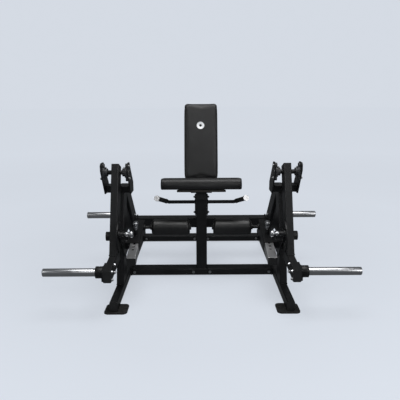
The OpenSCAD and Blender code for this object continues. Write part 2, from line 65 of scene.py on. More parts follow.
# ---- places on the frame; pairs are Y, Z ----
SIDES = (("left", -1), ("right", 1))
RAIL_X, RAIL_TOP = 0.560, 0.073
LEVER_X, ARM_X, BRACKET_X = 0.570, 0.459, 0.532
YOKE_X, YOKE_LOW, YOKE_REAR = (-0.077, 0.090), 0.682, -0.210
YOKE_PLATE = 0.008
STORE_AT = (0.160, 0.398)
SEAT_FRONT, SEAT_TILT = (-0.272, 0.690), math.radians(11)
BACK_FOOT, BACK_LEAN = (0.133, 0.683), math.radians(18.5)
HANDLE_AT, HANDLE_CHEEK_X = (-0.118, 0.570), 0.0485
GRIP_START, GRIP_END = (0.238, -0.118, 0.570), (0.306, -0.318, 0.642)
POST_FOOT, COLUMN_FOOT, BRACE_END = 0.0595, 0.3565, 0.3135      # where their beads lie

# ---- places on the moving parts; pairs are Y, Z ----
PIVOT, SHAFT_R = JOINT_AT["lever_swing_right"][1:], 0.015
HUB = JOINT_AT["arm_angle_right"][1:]
PIN_RING, PIN_ANGLE = 0.080, math.radians(154)      # the angle pin, seen from the hub
PIN_AT = (HUB[0] + PIN_RING * math.cos(PIN_ANGLE), HUB[1] + PIN_RING * math.sin(PIN_ANGLE))
LEVER_FOOT, FOOT_TILT = (-0.530, 0.347), math.radians(4.7)
HORN_AT = (-0.261, -0.038)              # in the lever foot's frame
COLLAR_R = 0.0362                       # just outside the collars of the horns
SLEEVE_FRONT, ARM_SLOPE = (-0.433, 0.330), math.radians(12.5)
LENGTH_PIN = (0.111, 0.0325)            # in the arm's frame, on top of the sleeve
BORE_ENDS = (-0.168, 0.302)             # in the arm's frame, both ends of the sliding tube
BAR_AT, BAR_R = JOINT_AT["roller_spin_right"][1:], 0.0115
RING_X = (0.0842, 0.366)                # the rings at both ends of the foam roller

FOOT_TURN = Matrix.Rotation(FOOT_TILT, 3, "X")
FOOT_UP = FOOT_TURN @ Vector((0, 0, 1))
ARM_UP = Vector((0, -math.sin(ARM_SLOPE), math.cos(ARM_SLOPE)))
ACROSS, UP = Vector((1, 0, 0)), Vector((0, 0, 1))

# ---- made surfaces ----
BADGE_X, BADGE_UP = -0.003, 0.421       # centre of the badge, in the backrest's frame
TUBE_FACE = 0.0255                      # half a 50 mm tube and 0.5 mm more
BEAD_GAP = 0.0015                       # a bead's centre stands this far off the face it is laid on
RIPPLE = 0.0016                         # spacing of a bead's rings, three to a ripple
PAD_GROW = 0.003                        # how far a pad starts inside its CAD solid
PUFF_CAP = 0.004                        # the most that pressure may move a point
VOXEL = 0.005
BLACK_VINYL = [(0.3, (0.0085, 0.0085, 0.0088)), (0.7, (0.0130, 0.0130, 0.0134))]
BLACK_FOAM = [(0.3, (0.006, 0.006, 0.0063)), (0.7, (0.010, 0.010, 0.0103))]


# ---------------------------------------------------------------- mesh helpers

def new_object(name, bm, material=None, smooth=True):
    """Turns bm into an object of the scene and frees it."""
    mesh = bpy.data.meshes.new(name)
    bmesh.ops.recalc_face_normals(bm, faces=bm.faces)
    bm.to_mesh(mesh)
    bm.free()
    for p in mesh.polygons:
        p.use_smooth = smooth
    obj = bpy.data.objects.new(name, mesh)
    bpy.context.scene.collection.objects.link(obj)
    if material:
        obj.data.materials.append(material)
    return obj


def frame_from(axis):
    """Two unit vectors square to axis."""
    axis = axis.normalized()
    side = axis.cross(Vector((0, 0, 1)))
    if side.length < 1e-4:
        side = axis.cross(Vector((0, 1, 0)))
    side.normalize()
    return side, side.cross(axis).normalized()


def lathe(bm, start, axis, profile, steps=48):
    """Revolves (distance along axis, radius) pairs about axis; the ends close where radius is 0."""
    axis = axis.normalized()
    side, up = frame_from(axis)
    rings = []
    for along, radius in profile:
        centre = start + axis * along
        if radius < 1e-7:
            rings.append([bm.verts.new(centre)])
            continue
        rings.append([
            bm.verts.new(centre + radius * (side * math.cos(a) + up * math.sin(a)))
            for a in (2 * math.pi * i / steps for i in range(steps))
        ])
    for lower, upper in zip(rings, rings[1:]):
        for i in range(steps):
            j = (i + 1) % steps
            if len(lower) == 1 and len(upper) == 1:
                continue
            if len(lower) == 1:
                bm.faces.new((lower[0], upper[i], upper[j]))
            elif len(upper) == 1:
                bm.faces.new((lower[i], lower[j], upper[0]))
            else:
                bm.faces.new((lower[i], lower[j], upper[j], upper[i]))


def sweep(bm, points, radius, closed=False, sides=8, normal=None):
    """A round tube along points; radius is a number or a function of the point's index."""
    count = len(points)
    rings = []
    for i, p in enumerate(points):
        before = points[(i - 1) % count] if closed or i else p
        after = points[(i + 1) % count] if closed or i < count - 1 else p
        axis = (after - before).normalized()
        up = normal if normal is not None else frame_from(axis)[1]
        side = axis.cross(up)
        if side.length < 1e-5:
            side, up = frame_from(axis)
        side.normalize()
        up = side.cross(axis)
        r = radius(i) if callable(radius) else radius
        rings.append([
            bm.verts.new(p + r * (side * math.cos(a) + up * math.sin(a)))
            for a in (2 * math.pi * k / sides for k in range(sides))
        ])
    spans = range(count) if closed else range(count - 1)
    for i in spans:
        a, b = rings[i], rings[(i + 1) % count]
        for k in range(sides):
            n = (k + 1) % sides
            bm.faces.new((a[k], a[n], b[n], b[k]))
    if not closed:
        bm.faces.new(rings[0][::-1])
        bm.faces.new(rings[-1])


def in_foot(k, x, y, z):
    """A point of the lever foot's frame, x outward."""
    return Vector((k * LEVER_X, *LEVER_FOOT)) + FOOT_TURN @ Vector((k * x, y, z))


def in_arm(k, x, y, z):
    """A point of the roller arm's frame: y rearward along the sleeve, z square to it."""
    c, s = math.cos(ARM_SLOPE), math.sin(ARM_SLOPE)
    return Vector((k * (ARM_X + x), SLEEVE_FRONT[0] + y * c - z * s, SLEEVE_FRONT[1] + y * s + z * c))


def in_seat_frame():
    """Frame of the seat pad: origin at the front of its lower face, +Y rearward along it."""
    return Matrix.Translation((0, *SEAT_FRONT)) @ Matrix.Rotation(-SEAT_TILT, 4, "X")


def in_back_frame():
    """Frame of the backrest: origin at the foot of the pad's back face, +Z up the pad."""
    return Matrix.Translation((0, *BACK_FOOT)) @ Matrix.Rotation(-BACK_LEAN, 4, "X")


# ---------------------------------------------------------------- materials

class Nodes:
    """A short way to write a node tree."""

    def __init__(self, name):
        self.material = bpy.data.materials.new(name)
        self.material.use_nodes = True
        self.tree = self.material.node_tree
        self.bsdf = self.tree.nodes["Principled BSDF"]
        self.coords = self.add("ShaderNodeTexCoord").outputs["Object"]

    def add(self, kind, **values):
        node = self.tree.nodes.new(kind)
        for key, value in values.items():
            setattr(node, key, value)
        return node

    def link(self, source, target):
        self.tree.links.new(source, target)

    def noise(self, scale, detail=2.0, stretch=None):
        node = self.add("ShaderNodeTexNoise")
        node.inputs["Scale"].default_value = scale
        node.inputs["Detail"].default_value = detail
        coords = self.coords
        if stretch:
            mapping = self.add("ShaderNodeMapping")
            mapping.inputs["Scale"].default_value = stretch
            self.link(coords, mapping.inputs["Vector"])
            coords = mapping.outputs["Vector"]
        self.link(coords, node.inputs["Vector"])
        return node.outputs["Fac"]

    def cells(self, scale):
        node = self.add("ShaderNodeTexVoronoi")
        node.inputs["Scale"].default_value = scale
        self.link(self.coords, node.inputs["Vector"])
        return node.outputs["Distance"]

    def ramp(self, value, stops):
        node = self.add("ShaderNodeValToRGB")
        elements = node.color_ramp.elements
        while len(elements) < len(stops):
            elements.new(0.5)
        for element, (place, colour) in zip(elements, stops):
            element.position = place
            grey = colour if isinstance(colour, tuple) else (colour, colour, colour)
            element.color = (*grey, 1)
        self.link(value, node.inputs["Fac"])
        return node.outputs["Color"]

    def mix(self, a, b, share=0.5):
        node = self.add("ShaderNodeMath", operation="MULTIPLY_ADD")
        node.inputs[1].default_value = share
        self.link(a, node.inputs[0])
        self.link(b, node.inputs[2])
        return node.outputs["Value"]

    def bump(self, height, distance, strength=1.0):
        node = self.add("ShaderNodeBump")
        node.inputs["Strength"].default_value = strength
        node.inputs["Distance"].default_value = distance
        self.link(height, node.inputs["Height"])
        self.link(node.outputs["Normal"], self.bsdf.inputs["Normal"])

    def set(self, **values):
        names = {"base": "Base Color", "metal": "Metallic", "rough": "Roughness",
                 "sheen": "Sheen Weight", "sheen_rough": "Sheen Roughness",
                 "specular": "Specular IOR Level"}
        for key, value in values.items():
            target = self.bsdf.inputs[names[key]]
            if isinstance(value, bpy.types.NodeSocket):
                self.link(value, target)
            else:
                target.default_value = (*value, 1) if isinstance(value, tuple) else value


def powder_coat(name="powder_coat", tone=1.0):
    """Semi-gloss black powder coat: orange peel, fine grit and worn, dusty patches."""
    m = Nodes(name)
    patches = m.noise(6.0, 4.0)
    dark = tuple(c * tone for c in (0.006, 0.0062, 0.0067))
    light = tuple(c * tone for c in (0.0100, 0.0104, 0.0112))
    grit = m.noise(1400.0, 2.0)
    peel = m.noise(260.0, 2.0)
    m.set(base=m.ramp(patches, [(0.3, dark), (0.7, light)]), specular=0.3,
          rough=m.ramp(m.noise(22.0, 3.0), [(0.3, 0.36), (0.75, 0.47)]))
    m.bump(m.mix(grit, peel, 0.35), 0.00022, 0.55)
    return m.material


def plated(name, colour, low, high, scratch=(1, 1, 1), wear=0.0):
    """Bright plated metal with fine scratches and a little haze."""
    m = Nodes(name)
    fine = m.noise(700.0, 3.0, stretch=scratch)
    haze = m.noise(14.0, 3.0)
    m.set(metal=1.0, rough=m.ramp(m.mix(fine, haze, 0.4), [(0.45, low), (0.95, high)]),
          base=m.ramp(haze, [(0.3, tuple(c * (0.93 - wear) for c in colour)), (0.7, colour)]))
    m.bump(fine, 0.00001, 0.15)
    return m.material


def vinyl(name="vinyl"):
    """Black upholstery vinyl: pebbled leather grain, soft creases, low sheen."""
    m = Nodes(name)
    pebbles = m.cells(620.0)
    creases = m.noise(95.0, 3.0)
    m.set(base=m.ramp(m.noise(9.0, 3.0), BLACK_VINYL),
          rough=m.ramp(creases, [(0.3, 0.4), (0.75, 0.52)]), sheen=0.03, sheen_rough=0.4, specular=0.4)
    m.bump(m.mix(creases, pebbles, 0.35), 0.0004, 0.5)
    return m.material


def foam_skin(name="roller_foam"):
    """Closed-cell foam with a moulded skin: open pores and shallow dents."""
    m = Nodes(name)
    pores = m.cells(420.0)
    dents = m.noise(45.0, 3.0)
    m.set(base=m.ramp(m.noise(30.0, 3.0), BLACK_FOAM),
          rough=m.ramp(dents, [(0.3, 0.38), (0.7, 0.47)]), specular=0.6)
    m.bump(m.mix(dents, pores, 0.8), 0.0003, 0.35)
    return m.material


def rubber(name="rubber", grey=0.011):
    """Matt rubber with a mould grain and a little dust."""
    m = Nodes(name)
    grain = m.noise(900.0, 2.0)
    m.set(base=m.ramp(m.noise(40.0, 4.0), [(0.35, grey), (0.8, grey * 1.7)]),
          rough=m.ramp(m.noise(60.0), [(0.3, 0.66), (0.7, 0.82)]), specular=0.35)
    m.bump(grain, 0.0002, 0.5)
    return m.material


def moulded_plastic(name="black_plastic"):
    """Injection-moulded black plastic with a spark-eroded grain."""
    m = Nodes(name)
    m.set(base=m.ramp(m.noise(25.0), [(0.3, 0.010), (0.7, 0.014)]),
          rough=m.ramp(m.noise(120.0), [(0.3, 0.42), (0.7, 0.54)]))
    m.bump(m.noise(1600.0, 2.0), 0.00012, 0.5)
    return m.material


def casting(name="cast_housing"):
    """Dark painted casting with a sand-cast texture."""
    m = Nodes(name)
    sand = m.noise(520.0, 4.0)
    m.set(base=m.ramp(sand, [(0.3, (0.022, 0.023, 0.025)), (0.75, (0.05, 0.051, 0.054))]),
          rough=0.5, metal=0.35)
    m.bump(sand, 0.0006, 0.6)
    return m.material


def stained_board(name="plywood"):
    """Black-stained plywood: long grain and darker plies."""
    m = Nodes(name)
    grain = m.noise(60.0, 5.0, stretch=(1, 8, 14))
    m.set(base=m.ramp(grain, [(0.3, (0.013, 0.011, 0.010)), (0.75, (0.034, 0.028, 0.023))]),
          rough=m.ramp(grain, [(0.3, 0.6), (0.7, 0.78)]))
    m.bump(grain, 0.0004, 0.5)
    return m.material


def white_enamel(name="badge_white"):
    """Off-white badge enamel, faintly mottled."""
    m = Nodes(name)
    m.set(base=m.ramp(m.noise(90.0), [(0.3, (0.78, 0.79, 0.8)), (0.7, (0.86, 0.87, 0.88))]), rough=0.32)
    m.bump(m.noise(500.0), 0.00005, 0.3)
    return m.material


def studio_sweep(name, glow, lit):
    """Backdrop paper: mostly its own glow, with a share of real light so that shadows show.

    glow lists the strength of the glow against the distance from the origin in tens of metres; on the
    floor it is dimmer near the origin, which is painted shade round the machine.
    """
    m = Nodes(name)
    paper = m.ramp(m.noise(1.3, 2.0), [(0.3, tuple(c * 0.995 for c in BACKDROP)), (0.7, BACKDROP)])
    dull, bright = (tuple(c * lit * share for c in BACKDROP) for share in (0.98, 1.0))
    m.set(base=m.ramp(m.noise(1.7, 2.0), [(0.3, dull), (0.7, bright)]), rough=0.9, specular=0.0)
    m.link(paper, m.bsdf.inputs["Emission Color"])
    # Glow strength by distance from the origin; on the floor the low values near the origin are painted
    # shade.
    distance = m.add("ShaderNodeVectorMath", operation="LENGTH")
    m.link(m.coords, distance.inputs[0])
    share = m.add("ShaderNodeMath", operation="DIVIDE")
    share.inputs[1].default_value = 10.0
    m.link(distance.outputs["Value"], share.inputs[0])
    m.link(m.ramp(share.outputs["Value"], glow), m.bsdf.inputs["Emission Strength"])
    return m.material


SLOTS = {
    "powder_coat": powder_coat(),
    "collar_black": powder_coat("collar_black", 0.8),
    "chrome": plated("chrome", (0.6, 0.61, 0.63), 0.27, 0.31, (0.06, 1, 1)),
    "nickel_plate": plated("nickel_plate", (0.74, 0.74, 0.75), 0.32, 0.44, (1, 0.05, 1), 0.1),
    "zinc_bolt": plated("zinc_bolt", (0.42, 0.43, 0.44), 0.3, 0.45),
    "vinyl": vinyl(),
    "roller_foam": foam_skin(),
    "rubber": rubber(),
    "grip_rubber": rubber("grip_rubber", 0.008),
    "black_plastic": moulded_plastic(),
    "cast_housing": casting(),
    "plywood": stained_board(),
}
BADGE_WHITE = white_enamel()
THREAD = rubber("thread", 0.02)
# Near-black matter for the sheets inside the sliding tubes: painted shade.
BORE_PAINTED_SHADE = rubber("bore_shade_black", 0.004)


# ---------------------------------------------------------------- CAD nodes

def finish_cad_node(obj, material, width):
    """Gives a CAD node its material and small rounded edges."""
    obj.data.materials.clear()
    obj.data.materials.append(material)
    weld = obj.modifiers.new("join", "WELD")
    weld.merge_threshold = 0.00002
    bevel = obj.modifiers.new("edges", "BEVEL")
    bevel.width = width
    bevel.segments = 2
    bevel.limit_method = "ANGLE"
    bevel.angle_limit = math.radians(35)
    bevel.use_clamp_overlap = True
    bevel.harden_normals = True


# Width of the rounded edges of each slot's nodes; the others get 1 mm.
EDGE = {"zinc_bolt": 0.0006, "chrome": 0.0008, "rubber": 0.0015, "black_plastic": 0.001,
        "cast_housing": 0.0015, "plywood": 0.0015}


def finish_cad_nodes():
    """Gives every CAD node the look of the material slot that the record names for it."""
    slots = {s["node"]: s["material_slot"] for s in frame["record"]["subparts"]}
    for name, obj in frame["nodes"].items():
        slot = slots[name]
        finish_cad_node(obj, SLOTS[slot], EDGE.get(slot, 0.001))


# ---------------------------------------------------------------- stage

def make_backdrop():
    """Floor disc under a dome. Only the camera sees the dome, and neither shows in reflections."""
    bm = bmesh.new()
    lathe(bm, Vector(), UP, [(0, 0), (0, 4), (0, FLOOR_R)], 64)
    paper = studio_sweep("studio_floor", FLOOR_GLOW_AND_SHADE, FLOOR_LIT)
    floor = new_object("studio_floor", bm, paper, smooth=False)
    bm = bmesh.new()
    lathe(bm, Vector(), UP,
          [(FLOOR_R * math.sin(a), FLOOR_R * math.cos(a))
           for a in (math.radians(90 * i / 12) for i in range(12))] + [(FLOOR_R, 0)], 64)
    dome = new_object("studio_dome", bm, studio_sweep("studio_dome", DOME_GLOW, 0.0))
    dome.visible_diffuse = dome.visible_glossy = False
    dome.visible_transmission = dome.visible_shadow = False
    floor.visible_glossy = False


def softbox(name, at, aim, size, power):
    """A rectangular area light at one point, turned to another."""
    light = bpy.data.lights.new(name, "AREA")
    light.shape = "RECTANGLE"
    light.size, light.size_y = size
    light.energy = power
    obj = bpy.data.objects.new(name, light)
    bpy.context.scene.collection.objects.link(obj)
    obj.location = at
    obj.rotation_euler = (Vector(aim) - Vector(at)).to_track_quat("-Z", "Y").to_euler()


def make_lights():
    """A dim sky, a large box overhead, a strip in front and one box on each side."""
    world = bpy.data.worlds.new("studio")
    bpy.context.scene.world = world
    world.use_nodes = True
    background = world.node_tree.nodes["Background"]
    background.inputs["Color"].default_value = (0.9, 0.95, 1.0, 1)
    background.inputs["Strength"].default_value = WORLD_LIGHT
    softbox("top_softbox", (0.3, -0.9, 4.2), (0, 0, 0.3), (3.2, 2.6), 120)
    softbox("front_strip", (0.6, -4.4, 3.0), (0, 0, 0.6), (3.5, 0.8), 14)
    softbox("right_softbox", (3.4, -3.0, 2.2), (0, 0, 0.5), (1.6, 2.2), 36)
    softbox("left_strip", (-3.6, -2.6, 1.9), (0, 0, 0.5), (0.8, 2.0), 22)


def make_camera():
    """The camera in front of the machine, looking along +Y and a little down."""
    camera = bpy.data.cameras.new("camera")
    camera.lens = LENS_MM
    camera.sensor_width = 36
    camera.clip_end = 200
    obj = bpy.data.objects.new("camera", camera)
    bpy.context.scene.collection.objects.link(obj)
    obj.location = CAMERA_AT
    pitch = Matrix.Rotation(math.pi / 2 - CAMERA_PITCH, 4, "X")
    obj.rotation_euler = (pitch @ Matrix.Rotation(CAMERA_ROLL, 4, "Z")).to_euler()
    bpy.context.scene.camera = obj
    bpy.context.scene.view_settings.view_transform = "Standard"


# ---------------------------------------------------------------- upholstery

def rounded_outline(width, height, radius, steps=8):
    """Corner-rounded rectangle about (0, 0), anticlockwise."""
    points = []
    for cx, cy, start in ((1, 1, 0), (-1, 1, 90), (-1, -1, 180), (1, -1, 270)):
        for i in range(steps + 1):
            a = math.radians(start + 90 * i / steps)
            points.append((cx * (width / 2 - radius) + radius * math.cos(a),
                           cy * (height / 2 - radius) + radius * math.sin(a)))
    return points


def quarter_round(radius, steps=6):
    """(Distance from the end, inset) pairs of a rounded edge, from the end inward."""
    return [(radius * (1 - math.sin(a)), radius * (1 - math.cos(a)))
            for a in (math.radians(90 * i / steps) for i in range(steps, -1, -1))]


def pad_start(name, length, outline, round_over):
    """Closed form swept along X through outline (Y, Z), its ends drawn in as a quarter round."""
    bm = bmesh.new()
    cy = sum(p[0] for p in outline) / len(outline)
    cz = sum(p[1] for p in outline) / len(outline)
    end = [(-length / 2 + along, inset) for along, inset in quarter_round(round_over)]
    rings = []
    for x, inset in end + [(-x, inset) for x, inset in end[::-1]]:
        ring = []
        for y, z in outline:
            d = Vector((y - cy, z - cz))
            d -= d.normalized() * inset
            ring.append(bm.verts.new((x, cy + d.x, cz + d.y)))
        rings.append(ring)
    count = len(outline)
    for a, b in zip(rings, rings[1:]):
        for i in range(count):
            j = (i + 1) % count
            bm.faces.new((a[i], a[j], b[j], b[i]))
    bm.faces.new(rings[0][::-1])
    bm.faces.new(rings[-1])
    return new_object(name, bm)


def baked(obj):
    """Replaces obj's mesh with what its modifiers make of it."""
    graph = bpy.context.evaluated_depsgraph_get()
    graph.update()
    mesh = bpy.data.meshes.new_from_object(obj.evaluated_get(graph))
    obj.modifiers.clear()
    old = obj.data
    obj.data = mesh
    bpy.data.meshes.remove(old)


def puff(obj, held, pressure=4.0, last_frame=20):
    """Remeshes obj finely and swells it as cloth; held(point) says which points are glued down."""
    remesh = obj.modifiers.new("remesh", "REMESH")
    remesh.mode = "VOXEL"
    remesh.voxel_size = VOXEL
    baked(obj)
    start = [v.co.copy() for v in obj.data.vertices]
    group = obj.vertex_groups.new(name="glued")
    group.add([i for i, p in enumerate(start) if held(p)], 1.0, "REPLACE")
    cloth = obj.modifiers.new("cloth", "CLOTH")
    settings = cloth.settings
    settings.quality = 4
    settings.mass = 0.4
    settings.tension_stiffness = settings.compression_stiffness = 25
    settings.shear_stiffness = 12
    settings.bending_stiffness = 2.5
    settings.use_pressure = True
    settings.uniform_pressure_force = pressure
    settings.effector_weights.gravity = 0
    settings.vertex_group_mass = "glued"
    cloth.collision_settings.use_collision = False
    cloth.point_cache.frame_start, cloth.point_cache.frame_end = 1, last_frame
    scene = bpy.context.scene
    for f in range(1, last_frame + 1):
        scene.frame_set(f)
    graph = bpy.context.evaluated_depsgraph_get()
    swollen = obj.evaluated_get(graph).to_mesh()
    ends = [v.co.copy() for v in swollen.vertices]
    obj.modifiers.clear()
    obj.vertex_groups.clear()
    for v, p, q in zip(obj.data.vertices, start, ends):
        d = q - p
        if d.length > 1e-9:
            v.co = p + d.normalized() * PUFF_CAP * math.tanh(d.length / PUFF_CAP)
    scene.frame_set(1)


def smoothed(obj):
    """Evens out the voxel steps and adds one subdivision."""
    smooth = obj.modifiers.new("smooth", "SMOOTH")
    smooth.factor = 0.5
    smooth.iterations = 2
    subdivide = obj.modifiers.new("subdivide", "SUBSURF")
    subdivide.levels = subdivide.render_levels = 1
    baked(obj)
    for p in obj.data.polygons:
        p.use_smooth = True


def sink(obj, distance_to_seam, width, depth):
    """Draws the surface in along a seam."""
    normals = [v.normal.copy() for v in obj.data.vertices]
    for v, n in zip(obj.data.vertices, normals):
        d = distance_to_seam(v.co)
        if d < 3 * width:
            v.co -= n * depth * math.exp(-(d / width) ** 2)


def on_surface(obj, points):
    """The nearest points of obj's surface, each with the surface's normal there."""
    bm = bmesh.new()
    bm.from_mesh(obj.data)
    tree = BVHTree.FromBMesh(bm)
    found = [tree.find_nearest(p)[:2] for p in points]
    bm.free()
    return found


def resampled(points, pitch):
    """Evenly spaced points along a closed polyline."""
    loop = list(points) + [points[0]]
    lengths = [0.0]
    for a, b in zip(loop, loop[1:]):
        lengths.append(lengths[-1] + (b - a).length)
    count = max(2, round(lengths[-1] / pitch))
    result, k = [], 0
    for i in range(count):
        want = lengths[-1] * i / count
        while k < len(lengths) - 2 and lengths[k + 1] < want:
            k += 1
        span = lengths[k + 1] - lengths[k]
        result.append(loop[k].lerp(loop[k + 1], (want - lengths[k]) / span if span else 0))
    return result


def stitches(bm, obj, path, pitch=0.0052, share=0.62, radius=0.00045):
    """Thread stitches laid on obj along a closed path."""
    spots = on_surface(obj, resampled(path, pitch / 2))
    for (a, na), (b, nb) in zip(spots[0::2], spots[1::2]):
        middle, lift = (a + b) / 2, (na + nb).normalized()
        run = (b - a) * share
        points = [middle - run + lift * 0.0001, middle - run * 0.5 + lift * 0.0006,
                  middle + run * 0.5 + lift * 0.0006, middle + run + lift * 0.0001]
        sweep(bm, points, radius, sides=5, normal=lift)


def upholster(name, node, body, obj, place, seams):
    """Puts a finished pad and its thread in place, in the stead of the CAD solid."""
    thread = bmesh.new()
    for path in seams:
        stitches(thread, obj, path)
    obj.data.transform(place)
    obj.data.materials.append(SLOTS["vinyl"])
    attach(obj, body)
    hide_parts(node)
    sewing = new_object(name + "_thread", thread, THREAD)
    sewing.data.transform(place)
    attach(sewing, body)


def make_seat_cushion():
    """Boxed seat pad with a rolled front and sewn end panels."""
    width, depth, thick, corner, round_over = 0.580, 0.325, 0.086, 0.036, 0.012
    seam_x, beside_seam = width / 2 - 0.018, 0.004
    small_depth, small_thick = depth - 2 * PAD_GROW, thick - 2 * PAD_GROW
    outline = [(y + depth / 2, z + thick / 2)
               for y, z in rounded_outline(small_depth, small_thick, corner - PAD_GROW / 2)]
    pad = pad_start("seat_cushion", width - 2 * PAD_GROW, outline, round_over)
    puff(pad, lambda p: p.z < PAD_GROW + 0.004)
    smoothed(pad)
    sink(pad, lambda p: abs(abs(p.x) - seam_x), 0.0022, 0.0016)
    for v in pad.data.vertices:
        v.co.z = max(v.co.z, 0.0004)
    seams = [[Vector((x, y, z)) for y, z in outline]
             for x in (-seam_x - beside_seam, seam_x + beside_seam)]
    upholster("seat_cushion", "seat_pad", "frame", pad, in_seat_frame(), seams)


def make_back_cushion():
    """Upright back pad, its front panel sewn to the boxing round its edge."""
    width, length, thick, corner, shoulder = 0.265, 0.604, 0.075, 0.024, 0.014
    seam_in, beside_seam = 0.012, 0.004
    outline = rounded_outline(width - 2 * PAD_GROW, length - 2 * PAD_GROW, corner)
    layers = [(-thick + PAD_GROW + along, inset) for along, inset in quarter_round(shoulder)]
    layers.append((-0.0006, 0.003))
    bm = bmesh.new()
    loops = []
    for y, inset in layers:
        loops.append([
            bm.verts.new((x * (1 - 2 * inset / width), y, length / 2 + z * (1 - 2 * inset / length)))
            for x, z in outline])
    for a, b in zip(loops, loops[1:]):
        for i in range(len(outline)):
            j = (i + 1) % len(outline)
            bm.faces.new((a[i], a[j], b[j], b[i]))
    bm.faces.new(loops[0])
    bm.faces.new(loops[-1][::-1])
    pad = new_object("backrest_cushion", bm)
    puff(pad, lambda p: p.y > -0.006)
    smoothed(pad)

    def to_seam(p):
        if p.y > -thick * 0.6:
            return 1.0
        x = abs(p.x) - (width / 2 - seam_in - corner)
        z = abs(p.z - length / 2) - (length / 2 - seam_in - corner)
        outside = math.hypot(max(x, 0), max(z, 0)) + min(max(x, z), 0)
        return abs(outside - corner)

    sink(pad, to_seam, 0.0022, 0.0015)
    for v in pad.data.vertices:
        v.co.y = min(v.co.y, -0.0004)
    inside = 2 * seam_in + 2 * beside_seam
    path = [Vector((x, -thick, length / 2 + z))
            for x, z in rounded_outline(width - inside, length - inside, corner)]
    upholster("backrest_cushion", "backrest_pad", "frame", pad, in_back_frame(), [path])
    make_badge(pad)


def make_badge(pad):
    """Plain round enamel badge with a small raised ring, let into the back cushion."""
    place = in_back_frame()
    centre = place @ Vector((BADGE_X, -0.2, BADGE_UP))
    inward = place.to_3x3() @ Vector((0, 1, 0))
    bm = bmesh.new()
    bm.from_mesh(pad.data)
    hit = BVHTree.FromBMesh(bm).ray_cast(centre, inward)
    bm.free()
    spot = hit[0] + inward * 0.001
    rim = bmesh.new()
    lathe(rim, spot, -inward, [(0, 0), (0, 0.0285), (0.0022, 0.0293), (0.0032, 0.0283), (0.0034, 0.0268),
                               (0.0026, 0.0262), (0.0020, 0)], 64)
    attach(new_object("badge", rim, BADGE_WHITE), "frame")
    dot = bmesh.new()
    lathe(dot, spot - inward * 0.0019, -inward,
          [(0, 0), (0, 0.0102), (0.0010, 0.0098), (0.0014, 0.0086), (0.0014, 0)])
    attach(new_object("badge_boss", dot, SLOTS["collar_black"]), "frame")


# ---------------------------------------------------------------- foam rollers

def make_foam_roller(side, k):
    """Foam sleeve with rounded shoulders, pressed a little out of true."""
    node = "foam_roller_" + side
    low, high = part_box(node)
    centre = (low + high) / 2
    length, radius = high.x - low.x, (high.z - low.z) / 2
    bore, shoulder, arc, rows = 0.0203, 0.017, 8, 22
    profile = [(0, bore), (0, radius - shoulder)]
    for i in range(1, arc + 1):
        a = math.radians(90 * i / arc)
        profile.append((shoulder * (1 - math.cos(a)), radius - shoulder + shoulder * math.sin(a)))
    for i in range(1, rows):
        profile.append((shoulder + (length - 2 * shoulder) * i / rows, radius))
    profile += [(length - d, r) for d, r in profile[arc::-1]]
    profile.append((0, bore))
    bm = bmesh.new()
    start = Vector((low.x, centre.y, centre.z))
    lathe(bm, start, ACROSS, profile, 72)
    bmesh.ops.remove_doubles(bm, verts=bm.verts, dist=1e-6)
    for v in bm.verts:
        d = Vector((0, v.co.y - centre.y, v.co.z - centre.z))
        if d.length > radius * 0.6:
            dent = noise.noise(Vector((v.co.x * 9, v.co.y * 14, v.co.z * 14 + 5 * k)))
            v.co -= d.normalized() * (0.0009 + 0.0009 * dent)
    roller = new_object("foam_sleeve_" + side, bm, SLOTS["roller_foam"])
    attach(roller, "roller_" + side)
    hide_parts(node)


# ---------------------------------------------------------------- weld beads

def section(node, point, normal):
    """The outer outline of a CAD node cut by a plane, as a closed list of points."""
    bm = bmesh.new()
    bm.from_mesh(frame["nodes"][node].data)
    bmesh.ops.remove_doubles(bm, verts=bm.verts, dist=1e-5)
    cut = bmesh.ops.bisect_plane(bm, geom=bm.verts[:] + bm.edges[:] + bm.faces[:],
                                 plane_co=point, plane_no=normal)["geom_cut"]
    edges = dict.fromkeys(e for e in cut if isinstance(e, bmesh.types.BMEdge))
    loops = []
    while edges:
        first = edges.popitem()[0]
        loop, v = [first.verts[0].co.copy()], first.verts[1]
        while True:
            loop.append(v.co.copy())
            step = next((e for e in v.link_edges if e in edges), None)
            if step is None:
                break
            del edges[step]
            v = step.other_vert(v)
        if (loop[0] - loop[-1]).length < 1e-5:
            loop.pop()
        loops.append(loop)
    bm.free()
    return max(loops, key=lambda l: sum((a - b).length for a, b in zip(l, l[1:] + l[:1])))


def rippled(bm, path, size):
    """A closed bead along path that swells at every third ring."""
    sweep(bm, path, lambda i: size * (0.86 + 0.14 * math.cos(i * 2 * math.pi / 3)), closed=True)


def weld_bead(bm, node, point, normal):
    """A rippled bead round the outline where a node meets another at a plane."""
    loop = section(node, Vector(point), Vector(normal).normalized())
    rippled(bm, resampled(loop, RIPPLE), 0.0032)


def ring_bead(bm, centre, radius, axis=ACROSS, size=0.0028):
    """A rippled bead round a bar or boss."""
    side, up = frame_from(axis)
    count = max(24, round(2 * math.pi * radius / RIPPLE / 3) * 3)
    rippled(bm, [centre + radius * (side * math.cos(a) + up * math.sin(a))
                 for a in (2 * math.pi * i / count for i in range(count))], size)


def bead_object(name, bm, body):
    """Makes the beads in bm one painted object that rides on body."""
    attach(new_object(name, bm, SLOTS["powder_coat"]), body)


